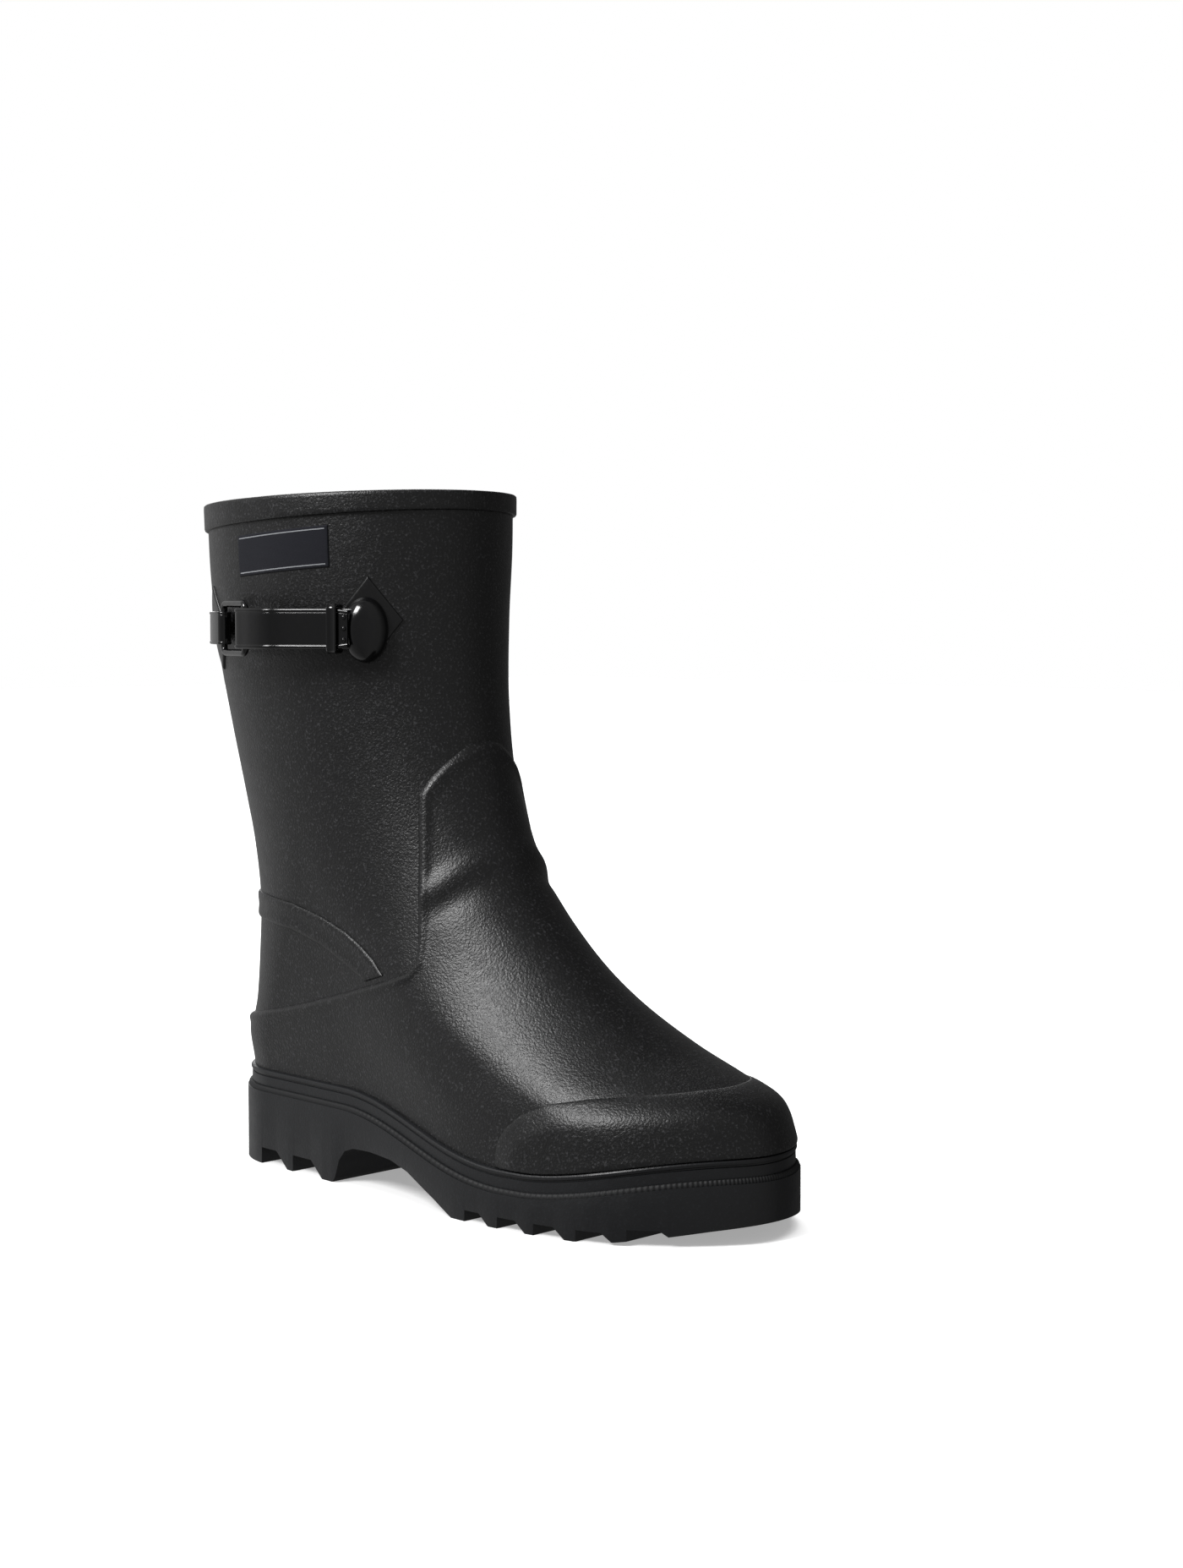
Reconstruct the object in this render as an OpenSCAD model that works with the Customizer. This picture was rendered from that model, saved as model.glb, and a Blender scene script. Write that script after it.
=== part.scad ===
/* [Foot] */
// Length of the upper along its feather line, heel to toe
foot_len = 278; // [270:1:286]
// Height of the feather line over the floor at the heel
heel_feather = 41; // [39:1:43]
// Height of the feather line over the floor under the ball of the foot
ball_feather = 23; // [22:1:25]
// How far the feather line rises again to the toe
toe_spring = 10; // [8:1:11]
// How far the toe bends to the inner side
toe_bend = 12; // [8:1:14]

/* [Leg] */
// Height of the rim at the back
rim_back_z = 284; // [280:1:288]
// Height of the rim at the shin
rim_front_z = 289; // [285:1:292]
// Width of the outer half of the rim
rim_out = 58; // [56:1:60]
// Width of the inner half of the rim
rim_in = 60; // [58:1:62]

/* [Layers] */
// Thickness of the rubber leg
leg_t = 2.4; // [2:0.1:2.8]
// Thickness of the textile lining
lining_t = 1.2; // [0.8:0.1:1.4]
// Thickness of the galosh over the foot
galosh_t = 1.2; // [0.8:0.1:1.6]
// Thickness of the toe bumper
bumper_t = 1.8; // [1.2:0.1:2.4]
// Thickness of the ankle strip
strip_t = 1; // [0.6:0.1:1.4]
// Thickness of the binding round the rim
binding_t = 1.6; // [1.2:0.1:2]
// Height of the binding round the rim
binding_h = 11; // [9:0.5:13]
// Height of the foxing strip
foxing_h = 9.3; // [8:0.1:10]
// Thickness of the foxing strip
foxing_t = 1.2; // [1:0.1:1.6]

/* [Sole] */
// How far the outsole stands out past the foxing
ledge_w = 2; // [1.5:0.1:2.5]
// Depth of the tread's side notches
notch_h = 7; // [5:0.5:8]
// Thickness of the sole filler
filler_t = 4; // [3:0.5:5]
// Thickness of the insole board
board_t = 2; // [1.5:0.1:2.5]
// Thickness of the footbed
footbed_t = 5; // [4:0.5:6]

/* [Strap] */
// Width of the strap
strap_w = 16.8; // [15:0.2:18]
// Thickness of the strap
strap_t = 2; // [1.6:0.1:2.2]
// Height of the strap's middle over the floor
strap_z = 233; // [228:1:236]
// Radius of the buckle frame's bars
bar_r = 1.5; // [1.3:0.1:1.6]
// Half height of the pad at the strap's fixed end
boss_tall = 13.5; // [11.5:0.5:14]

/* [Hidden] */

// The model is drawn with the heel near x = 0 and then moved, so that the middle of its box is at 0, 0.
to_middle = [-135.65, 4.3, 0];
// Gap between bonded layers
bond = 0.02;
// Running gap round the parts that move
run = 0.35;
// Facets round the boot
ring_n = 44;
// Reach of the tools that cut through the whole boot
far = 400;
heel_x = 5;
toe_x = heel_x + foot_len;
toe_feather = ball_feather + toe_spring;

// Sections from the feather line to the rim:
// back x, back z, front x, front z, outer half width, inner half width, heel rounding, toe rounding
SECTIONS = [
    [heel_x, heel_feather, toe_x, toe_feather, 47, 45, 33, 50],
    [3, 56, 274, 50, 46, 43, 34, 54],
    [8, 72, 239, 66, 42.5, 39, 36, 60],
    [10.5, 96, 211, 83, 41.5, 38, 42, 80],
    [10.5, 118, 187, 103, 42, 40, 52, 90],
    [7, 140, 162, 130, 44, 43, 62, 84],
    [1.5, 162, 144.5, 165, 46.5, 46, 66, 76],
    [-5, 190, 135, 202, 50, 51, 68, 70],
    [-10, 220, 132, 237, 54, 55, 68, 68],
    [-13, 252, 131.5, 267, 57, 59, 69, 69],
    [-14.5, rim_back_z, 131.5, rim_front_z, rim_out, rim_in, 70, 70]
];
// Half widths of the feather line at even steps from heel to toe
SOLE_OUT = [31, 33, 35, 37.5, 42, 47, 48.5, 44, 33];
SOLE_IN = [32, 33, 32, 30, 34, 42, 45, 44, 39];

// Section numbers of the skin's rings above the feather line
RINGS = [0, 0.3, 0.65, 1, 1.35, 1.7, 2, 2.4, 2.8, 3.2, 3.7, 4.2, 4.8, 5.4, 6, 6.6, 7.3, 8, 8.8, 9.55, 10];

function ease(v) = let (c = min(1, max(0, v))) c * c * (3 - 2 * c);
function mix(a, b, k) = a + (b - a) * k;
function unit(v) = v / norm(v);
// A smooth curve through the rows of a table
function spline(table, at) =
    let (last = len(table) - 1, i = min(last - 1, max(0, floor(at))), f = at - i,
         p1 = table[i], p2 = table[i + 1],
         p0 = i == 0 ? 2 * p1 - p2 : table[i - 1],
         p3 = i == last - 1 ? 2 * p2 - p1 : table[i + 2])
    0.5 * (2 * p1 + (p2 - p0) * f + (2 * p0 - 5 * p1 + 4 * p2 - p3) * f * f
           + (3 * p1 - p0 - 3 * p2 + p3) * f * f * f);
// Height of the feather line, s running from 0 at the heel to 1 at the toe
function feather(s) = heel_feather - (heel_feather - ball_feather) * ease((s - 0.31) / 0.38)
    + toe_spring * ease((s - 0.72) / 0.28);
// How full a section is, at this distance from an end that is rounded by this length
function fullness(distance, rounding) = let (q = min(1, max(0, 1 - distance / rounding))) sqrt(1 - q * q);

// A point of the leg's outer surface: turn runs from 0 at the back by the outer side to 0.5 at the
// front and 1 at the back again, row is the section number
function leg_point(turn, row) =
    let (r = spline(SECTIONS, row),
         outer = turn <= 0.5,
         s = (1 - cos(360 * (outer ? turn : 1 - turn))) / 2,
         x = mix(r[0], r[2], s),
         foot = 1 - ease(row / 4),
         fade = 1 - ease(row / 5),
         half = mix(outer ? r[4] : r[5], spline(outer ? SOLE_OUT : SOLE_IN, s * 8), fade))
    [x,
     (outer ? -1 : 1) * half * fullness(x - r[0], r[6]) * fullness(r[2] - x, r[7])
         + fade * toe_bend * ease((s - 0.5) / 0.5),
     mix(r[1], r[3], s) + (feather(s) - mix(heel_feather, toe_feather, s)) * foot];
function wrap(turn) = turn - floor(turn);
function round_way(turn, row) = leg_point(wrap(turn + 0.004), row) - leg_point(wrap(turn - 0.004), row);
function up_way(turn, row) = leg_point(turn, min(10, row + 0.04)) - leg_point(turn, max(0, row - 0.04));
function flat_normal(turn) = let (a = round_way(turn, 0)) unit([a.y, -a.x, 0]);
function normal(turn, row) =
    unit(mix(flat_normal(turn), unit(cross(round_way(turn, row), up_way(turn, row))), ease(row / 0.3)));

// The feather line's height over x, straight between the ring's own points
FEATHER = [for (i = [0 : ring_n / 2]) let (p = leg_point(i / ring_n, 0)) [p.x, p.z]];
function feather_at(x) = lookup(x, FEATHER);
function ledge_at(x) = feather_at(x) - foxing_h;
// A point of the skin that lies this far out from the leg's surface. Below the feather line row runs
// to -1 at the ledge, straight down.
function skin(turn, row, out) =
    let (p = leg_point(turn, max(0, row)) + out * normal(turn, max(0, row)))
    row > 0 ? p : [p.x, p.y, feather_at(p.x) + row * foxing_h];
function outline(out) = [for (i = [0 : ring_n - 1]) let (p = skin(i / ring_n, 0, out)) [p.x, p.y]];

// Triangles between ring a and ring b, both of ring_n points. A wall that falls is split along the same
// diagonal as one that rises, so that layers lie flat on one another.
function band_faces(a, b, falls = false) =
    [for (i = [0 : ring_n - 1])
        let (j = (i + 1) % ring_n, p = a * ring_n + i, q = a * ring_n + j,
             r = b * ring_n + j, s = b * ring_n + i)
        each falls ? [[p, s, q], [s, r, q]] : [[p, r, q], [p, s, r]]];
// A closed wall that sweeps round the boot: profile lists [row, out, lift] round one cross section
module swept_ring(profile) {
    n = len(profile);
    polyhedron(points = [for (c = profile, i = [0 : ring_n - 1]) skin(i / ring_n, c[0], c[1]) + [0, 0, c[2]]],
               faces = [for (k = [0 : n - 1]) each band_faces(k, (k + 1) % n, profile[(k + 1) % n][0] < profile[k][0])]);
}
// A skin between two distances from the leg's surface, on the given rings
module skin_layer(inner, outer, rings) {
    n = len(rings);
    swept_ring(concat([for (k = [0 : n - 1]) [rings[k], outer, 0]],
                      [for (k = [n - 1 : -1 : 0]) [rings[k], inner, 0]]));
}
ALL_RINGS = concat([-1], RINGS);
function rings_to(top) = [for (r = ALL_RINGS) if (r <= top) r];
function rings_between(low, top) = [for (r = ALL_RINGS) if (r >= low && r <= top) r];

// A plate seen from the side, given as [x, z] points, through the whole width
module side_plate(points) rotate([90, 0, 0]) linear_extrude(far, center = true) polygon(points);
// The same on the outer side of the boot only
module outer_plate(points) rotate([90, 0, 0]) linear_extrude(far) polygon(points);
// A layer of the skin cut to a shape; resize keeps the layer and its cutting together as one mesh
module cut_layer(inner, outer, rings) {
    resize([0, 0, 0]) intersection() {
        skin_layer(inner, outer, rings);
        children();
    }
}
// A flat layer of the sole's build-up between two heights over the ledge
module sole_layer(out, low, high) {
    xs = [for (p = FEATHER) p[0]];
    stations = concat([heel_x - 20], xs, [toe_x + 20]);
    intersection() {
        linear_extrude(far, center = true) polygon(outline(out));
        side_plate(concat([for (x = stations) [x, ledge_at(x) + low]],
                          [for (i = [len(stations) - 1 : -1 : 0]) [stations[i], ledge_at(stations[i]) + high]]));
    }
}

// ---- sole ----
sole_out = galosh_t + foxing_t + ledge_w;
heel_breast = 88;
arch_end = 170;
// Underside of the outsole from the heel to the toe: heel, arch, tread and toe spring
UNDERSIDE = [[heel_x - 20, 0], [heel_breast - 2, 0], [heel_breast, 2], [91, 10], [95, 14.5], [101, 16.5],
             [113, 17], [128, 16.2], [140, 13.4], [149, 9.6], [159, 5.4], [arch_end, 0], [232, 0],
             [248, 1.2], [262, 3.4], [276, 6], [toe_x + 20, 10]];
// Side notches: [front x at the top, x of the steep edge, floor height]
HEEL_NOTCHES = [[35, 46], [58, 71]];
TREAD_NOTCHES = [[178, 186], [196, 205], [214, 223], [233, 243], [252, 262]];
rib_half = 9;
// How much lower the tread's notches reach than the heel's
tread_sink = 2.5;
core_in = 14;
core_floor = 12;
core_x0 = 16;
core_x1 = 78;
pocket_gap = 0.1;

module notch(x0, x1, lift) {
    slant = 9;
    for (side = [-1, 1])
        translate([0, side * (far / 2 + rib_half), 0])
            rotate([90, 0, 0])
                linear_extrude(far, center = true)
                    polygon([[x0, lift - 1], [x0, lift + notch_h], [x1, lift + notch_h], [x1 + slant, lift - 1]]);
}
function floor_at(x) = lookup(x, UNDERSIDE);
module core_space(gap) {
    intersection() {
        linear_extrude(far, center = true) polygon(outline(-core_in + gap));
        translate([core_x0 - gap, -far / 2, core_floor - gap]) cube([core_x1 - core_x0 + 2 * gap, far, far]);
    }
}
module outsole() color([0.1, 0.1, 0.11]) {
    stations = concat([heel_x - 20], [for (p = FEATHER) p[0]], [toe_x + 20]);
    difference() {
        intersection() {
            linear_extrude(far, center = true) polygon(outline(sole_out));
            side_plate(concat(UNDERSIDE, [for (i = [len(stations) - 1 : -1 : 0]) [stations[i], ledge_at(stations[i])]]));
        }
        core_space(pocket_gap);
        for (n = HEEL_NOTCHES) notch(n[0], n[1], 0);
        for (n = TREAD_NOTCHES) notch(n[0], n[1], floor_at(n[0]) - tread_sink);
    }
}
module heel_core() color([0.62, 0.6, 0.55]) {
    intersection() {
        core_space(0);
        side_plate([[heel_x, 0], [toe_x, 0], [toe_x, ledge_at(50)], [heel_x, ledge_at(50)]]);
    }
}
shank_x0 = 62;
shank_x1 = 168;
shank_w = 18;
shank_t = 1.4;
wall_in = -leg_t - 0.2;
module shank_space(gap) {
    intersection() {
        sole_layer(wall_in, filler_t - shank_t - gap, filler_t + gap);
        translate([shank_x0 - gap, -shank_w / 2 - gap, 0])
            cube([shank_x1 - shank_x0 + 2 * gap, shank_w + 2 * gap, far]);
    }
}
module sole_filler() color([0.3, 0.28, 0.25]) {
    difference() {
        sole_layer(wall_in, pocket_gap, filler_t);
        shank_space(0.05);
    }
}
module shank() color([0.6, 0.62, 0.65]) shank_space(0);
module insole_board() color([0.55, 0.42, 0.28]) sole_layer(wall_in, filler_t + 0.1, filler_t + board_t);
board_top = filler_t + board_t;
lining_floor = board_top + 0.1;
module footbed() color([0.2, 0.2, 0.22])
    sole_layer(-leg_t - lining_t - 3.4, lining_floor + lining_t + 0.1, lining_floor + lining_t + footbed_t);

// ---- upper ----
module leg_shell() color([0.13, 0.13, 0.14]) skin_layer(-leg_t, 0, ALL_RINGS);
stiffener_t = 1;
// The lining keeps clear of the stiffeners at the foot and lies on the rubber higher up
function lining_out(row) = -leg_t - bond - (stiffener_t + 0.1) * (1 - ease((row - 2.8) / 0.9));
LINING_RINGS = concat([-0.1], [for (r = RINGS) if (r < 10) r], [9.95]);
function lining_wall(i, row, depth) = skin(i / ring_n, row, lining_out(max(0, row)) - depth);
function lining_base(i, depth, lift) =
    let (p = lining_wall(i, 0, depth)) [p.x, p.y, ledge_at(p.x) + lining_floor + lift];
// Cross strips that close the floor of a ring whose first point is this one
function cross_strips(first, flip) =
    let (half = ring_n / 2)
    [for (i = [0 : half - 1])
        let (a = first + i, b = first + i + 1, c = first + ring_n - i - 1, d = first + (ring_n - i) % ring_n)
        each i == 0 ? (flip ? [[a, b, c]] : [[a, c, b]])
           : i == half - 1 ? (flip ? [[a, b, d]] : [[a, d, b]])
           : (flip ? [[a, b, c], [a, c, d]] : [[a, c, b], [a, d, c]])];
module lining() color([0.35, 0.36, 0.4]) {
    n = len(LINING_RINGS);
    ring = [0 : ring_n - 1];
    polyhedron(
        points = concat([for (i = ring) lining_base(i, 0, 0)],
                        [for (r = LINING_RINGS, i = ring) lining_wall(i, r, 0)],
                        [for (k = [n - 1 : -1 : 0], i = ring) lining_wall(i, LINING_RINGS[k], lining_t)],
                        [for (i = ring) lining_base(i, lining_t, lining_t)]),
        faces = concat([for (k = [0 : 2 * n]) each band_faces(k, k + 1, k > n)],
                       cross_strips(0, true), cross_strips((2 * n + 1) * ring_n, false)));
}
module heel_counter() color([0.45, 0.43, 0.4])
    cut_layer(-leg_t - bond - stiffener_t, -leg_t - bond, rings_between(0, 2.4))
        side_plate([[-20, 30], [82, 30], [88, 36], [80, 50], [60, 66], [30, 72], [-20, 72]]);
module toe_puff() color([0.45, 0.43, 0.4])
    cut_layer(-leg_t - bond - stiffener_t, -leg_t - bond, rings_between(0, 2))
        side_plate([[225, 20], [225, 40], [236, 58], [262, 66], [300, 66], [300, 20]]);

// Edge of the galosh seen from the side: heel step, corner at the ankle, front edge up to the shin
GALOSH_EDGE = [[-40, 58], [4, 62], [24, 64.6], [48, 69.6], [67, 74], [91, 80.4], [115, 87], [130, 91.5],
               [136, 94], [139.2, 98.5], [138.6, 105], [134.8, 124], [131.4, 145], [129.4, 158],
               [128.6, 165], [131.6, 172.5], [135.4, 180], [137.4, 185.5], [140, 189.5], [146, 192.5], [180, 195]];
GALOSH_SIDE = concat(GALOSH_EDGE, [[far, 195], [far, -20], [-40, -20]]);
module galosh() color([0.12, 0.12, 0.13])
    cut_layer(bond, galosh_t, rings_to(7.3)) side_plate(GALOSH_SIDE);
module toe_bumper() color([0.14, 0.14, 0.15])
    cut_layer(galosh_t + bond, galosh_t + bumper_t, rings_between(0, 2))
        side_plate([[189, 10], [193, 33], [197, 39], [204, 45], [216, 50.4], [231, 53.4], [247, 55], [262, 56.6],
                    [300, 58], [300, 10]]);
module foxing() color([0.1, 0.1, 0.12])
    swept_ring([[-1, galosh_t + bond, 0.05], [-1, galosh_t + foxing_t, 0.05],
                [0, galosh_t + foxing_t, -0.05], [0, galosh_t + bond, -0.05]]);
// The strip that crosses the ankle from the heel cord to the galosh
STRIP_SIDE = [[-40, 119], [40, 118.5], [62, 116.8], [82, 112.4], [98, 107.2], [108, 102.2], [116, 97], [122, 91.2],
              [110, 87.6], [98, 93], [81, 100], [62, 105], [40, 107], [-40, 107.5]];
module ankle_strip() color([0.14, 0.14, 0.15])
    cut_layer(bond, strip_t, rings_between(2, 6)) difference() {
        side_plate(STRIP_SIDE);
        translate([0, 0, 0.4]) side_plate(GALOSH_SIDE);
    }
binding_row = 10 - binding_h / 32;
binding_lip = 1;
binding_in = -leg_t - lining_t - bond;
module top_binding() color([0.12, 0.12, 0.13])
    swept_ring([[binding_row, bond, 0], [binding_row, binding_t, 0], [9.85, binding_t, 0], [10, binding_t, 0],
                [10, binding_t - 0.6, binding_lip], [10, binding_in - 0.4, binding_lip],
                [10, binding_in - 1, 0], [9.85, binding_in - 1, 0], [9.85, binding_in - bond, 0],
                [10, binding_in - bond, 0.05], [10, bond, 0.05], [9.85, bond, 0]]);
module side_label() color([0.1, 0.11, 0.18])
    cut_layer(bond, 0.7, rings_between(8, 10))
        outer_plate([[48.5, 254.5], [48.5, 271.6], [97.5, 275.4], [97.5, 258.2]]);

// ---- strap and buckle, drawn on the outer side of the leg ----
// Turns and moves a piece to a place on the leg: x along the leg, z up, y out
module on_leg(place, angle) translate([place.x, place.y, strap_z]) rotate([0, 0, angle]) children();
// A diamond with this half width and half height, standing square to the leg at the angle given
module diamond_cutter(place, angle, half_w, half_h, lift)
    on_leg(place, angle) translate([0, 0, lift]) rotate([90, 0, 0]) linear_extrude(40, center = true)
        polygon([[-half_w, 0], [0, half_h], [half_w, 0], [0, -half_h]]);
patch_t = 1;
boss_place = [111.5, -40.5];
boss_angle = 42;
module front_patch() color([0.13, 0.13, 0.14])
    cut_layer(bond, patch_t, rings_between(7, 10)) diamond_cutter(boss_place, boss_angle, 14.5, 18, 3.5);
rear_place = [19, -48];
rear_angle = -27;
module rear_patch() color([0.13, 0.13, 0.14])
    cut_layer(bond, patch_t, rings_between(7, 10)) diamond_cutter(rear_place, rear_angle, 14.5, 18, 0);

// Plan of the strap: from the boss along the leg, round the buckle's front bar and back as the tail
front_bar = [63, -65.5];
rear_bar = [40, -58.8];
run_angle = atan2(10, 20);
run_dir = [cos(run_angle), sin(run_angle)];
run_out = [sin(run_angle), -cos(run_angle)];
run_start = [85, -60];
run_len = 28.3;
fold_r = 3.6;
tail_gap = 3.3;
LOWER_RUN = [run_start + run_dir * run_len, run_start, [78, -62.4], [70, -62.2], front_bar + [1, fold_r]];
UPPER_RUN = [front_bar + [1, -fold_r], [72, -69.1], [79, -67.6], run_start + run_out * tail_gap,
             run_start + run_dir * (run_len - 1) + run_out * tail_gap];
function along(points, steps) =
    [for (i = [0 : (len(points) - 1) * steps]) spline(points, i / steps)];
STRAP_END = [[115.5, -42], [113, -45.2]];
STRAP_LINE = concat(STRAP_END, along(LOWER_RUN, 5),
                    [for (a = [100 : 20 : 260]) front_bar + fold_r * [cos(a), sin(a)]],
                    along(UPPER_RUN, 5));
function side_of(line, i) =
    let (a = line[max(0, i - 1)], b = line[min(len(line) - 1, i + 1)], d = b - a) [-d.y, d.x] / norm(d);
// A ribbon of even thickness along a line in plan
module ribbon(line, thickness) {
    n = len(line);
    polygon(concat([for (i = [0 : n - 1]) line[i] + side_of(line, i) * thickness / 2],
                   [for (i = [n - 1 : -1 : 0]) line[i] - side_of(line, i) * thickness / 2]));
}
module strap() color([0.05, 0.05, 0.06])
    translate([0, 0, strap_z - strap_w / 2]) linear_extrude(strap_w) ribbon(STRAP_LINE, strap_t);
boss_wide = 9.5;
boss_rise = 7.8;
boss_left = -7.5;
// A low pad on the front patch, flat on its left where the strap's end goes in
module strap_boss() color([0.06, 0.06, 0.07]) difference() {
    on_leg(boss_place, boss_angle) intersection() {
        translate([-1, 0, -0.5]) scale([boss_wide, boss_rise, boss_tall]) sphere(1, $fn = 64);
        translate([boss_left, -far, -far / 2]) cube([far, far + 2.2, far]);
    }
    cut_layer(-3, patch_t + bond, rings_between(7, 10))
        on_leg(boss_place, boss_angle) cube(60, center = true);
    translate([0, 0, strap_z - strap_w / 2 - 0.05]) linear_extrude(strap_w + 0.1)
        ribbon(STRAP_LINE, strap_t + 0.1);
}
keeper_wall = 1.4;
keeper_len = 4.2;
keeper_at = 20.8;
keeper_in = strap_t / 2 + run;
module strap_keeper() color([0.05, 0.05, 0.06]) {
    depth = tail_gap + 2 * keeper_in;
    tall = strap_w + 2 * run;
    place = run_start + run_dir * keeper_at;
    translate([place.x, place.y, strap_z]) rotate([0, 0, run_angle])
        translate([-keeper_len / 2, -tail_gap - keeper_in, 0]) difference() {
            translate([0, -keeper_wall, -tall / 2 - keeper_wall])
                cube([keeper_len, depth + 2 * keeper_wall, tall + 2 * keeper_wall]);
            translate([-1, 0, -tall / 2]) cube([keeper_len + 2, depth, tall]);
        }
}
rail_z = strap_w / 2 + run + bar_r;
bar_span = norm(front_bar - rear_bar);
bar_angle = atan2(front_bar.y - rear_bar.y, front_bar.x - rear_bar.x);
module buckle_frame() color([0.08, 0.08, 0.09])
    translate([rear_bar.x, rear_bar.y, strap_z]) rotate([0, 0, bar_angle]) {
        for (x = [0, bar_span])
            translate([x, 0, -rail_z]) cylinder(h = 2 * rail_z, r = bar_r, $fn = 48);
        for (z = [-rail_z, rail_z]) {
            translate([0, 0, z]) rotate([0, 90, 0]) cylinder(h = bar_span, r = bar_r, $fn = 48);
            for (x = [0, bar_span]) translate([x, 0, z]) sphere(bar_r, $fn = 48);
        }
    }
tab_w = 14;
tab_t = 1.4;
tab_gap = 0.25;
TAB_LINE = [rear_bar + [-2.3, 0.9], [34, -57.4], [27, -54.2], [20.5, -50.6], [13.5, -46.4]];
module buckle_tab() color([0.05, 0.05, 0.06])
    translate([0, 0, strap_z - tab_w / 2]) difference() {
        union() {
            translate(rear_bar) cylinder(h = tab_w, r = bar_r + tab_gap + tab_t, $fn = 48);
            linear_extrude(tab_w) ribbon(along(TAB_LINE, 4), tab_t);
        }
        translate([rear_bar.x, rear_bar.y, -1]) cylinder(h = tab_w + 2, r = bar_r + tab_gap, $fn = 48);
    }

translate(to_middle) outsole();
translate(to_middle) heel_core();
translate(to_middle) sole_filler();
translate(to_middle) shank();
translate(to_middle) insole_board();
translate(to_middle) footbed();
translate(to_middle) leg_shell();
translate(to_middle) lining();
translate(to_middle) heel_counter();
translate(to_middle) toe_puff();
translate(to_middle) galosh();
translate(to_middle) toe_bumper();
translate(to_middle) foxing();
translate(to_middle) ankle_strip();
translate(to_middle) top_binding();
translate(to_middle) side_label();
translate(to_middle) front_patch();
translate(to_middle) strap_boss();
translate(to_middle) strap();
translate(to_middle) strap_keeper();
translate(to_middle) buckle_frame();
translate(to_middle) buckle_tab();
translate(to_middle) rear_patch();
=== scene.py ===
"""A short rubber rain boot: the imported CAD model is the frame, and the pieces here carry its looks.

The upper is one smooth form. leg_point() gives its outer surface over (turn, row), and every layer of
the boot is laid over that surface at its own distance. Sizes in the form are millimetres; place()
turns them into the frame's metres.
"""

from math import atan2, cos, pi, radians, sin

import bmesh
import bpy
import numpy as np
from mathutils import Matrix


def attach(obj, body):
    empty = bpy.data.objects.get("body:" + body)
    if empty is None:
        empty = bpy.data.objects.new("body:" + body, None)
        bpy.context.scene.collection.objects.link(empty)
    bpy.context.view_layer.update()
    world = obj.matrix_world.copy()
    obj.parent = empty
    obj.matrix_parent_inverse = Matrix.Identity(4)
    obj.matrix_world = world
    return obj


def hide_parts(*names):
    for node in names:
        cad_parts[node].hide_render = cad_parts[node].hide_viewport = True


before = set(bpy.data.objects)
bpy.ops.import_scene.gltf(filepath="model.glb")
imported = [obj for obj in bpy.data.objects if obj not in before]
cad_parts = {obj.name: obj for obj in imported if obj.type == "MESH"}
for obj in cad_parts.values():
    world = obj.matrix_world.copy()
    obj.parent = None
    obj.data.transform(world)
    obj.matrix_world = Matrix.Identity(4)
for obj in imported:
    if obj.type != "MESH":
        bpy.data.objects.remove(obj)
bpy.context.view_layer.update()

# ---- sizes, in millimetres ----
TO_MIDDLE = np.array([-135.65, 4.3, 0])
HEEL_X, FOOT_LEN = 5, 278
HEEL_FEATHER, BALL_FEATHER, TOE_SPRING, TOE_BEND = 41, 23, 10, 12
TOE_X = HEEL_X + FOOT_LEN
TOE_FEATHER = BALL_FEATHER + TOE_SPRING
LEG_T, LINING_T, GALOSH_T, BUMPER_T, STRIP_T = 2.4, 1.2, 1.2, 1.8, 1.0
BINDING_T, BINDING_H, FOXING_H, FOXING_T, LEDGE_W = 1.6, 11, 9.3, 1.2, 2
FOXING_OUT = GALOSH_T + FOXING_T
SOLE_OUT_BY = FOXING_OUT + LEDGE_W
STRAP_W, STRAP_T, STRAP_Z = 16.8, 2.0, 233
STRAP_CLEAR = 0.35
BOND = 0.02
COLUMNS = 420
RIM_ROW, FOOT_ROWS, SOLE_ROWS = 10, 4, 5
WAIST_FROM, WAIST_RUN, SPRING_FROM, SPRING_RUN = 0.31, 0.38, 0.72, 0.28

# The sections, the half widths and the camera's values are the rounded results of a fit, and most outlines
# below were measured over that form by a script. They aren't worked out from the sizes above.
# Sections from the feather line to the rim:
# back x, back z, front x, front z, outer half width, inner half width, heel rounding, toe rounding
SECTIONS = np.array([
    [HEEL_X, HEEL_FEATHER, TOE_X, TOE_FEATHER, 47, 45, 33, 50],
    [3, 56, 274, 50, 46, 43, 34, 54],
    [8, 72, 239, 66, 42.5, 39, 36, 60],
    [10.5, 96, 211, 83, 41.5, 38, 42, 80],
    [10.5, 118, 187, 103, 42, 40, 52, 90],
    [7, 140, 162, 130, 44, 43, 62, 84],
    [1.5, 162, 144.5, 165, 46.5, 46, 66, 76],
    [-5, 190, 135, 202, 50, 51, 68, 70],
    [-10, 220, 132, 237, 54, 55, 68, 68],
    [-13, 252, 131.5, 267, 57, 59, 69, 69],
    [-14.5, 284, 131.5, 289, 58, 60, 70, 70],
], float)
# Half widths of the feather line at even steps from heel to toe
SOLE_OUT = np.array([31, 33, 35, 37.5, 42, 47, 48.5, 44, 33])
SOLE_IN = np.array([32, 33, 32, 30, 34, 42, 45, 44, 39])

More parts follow.
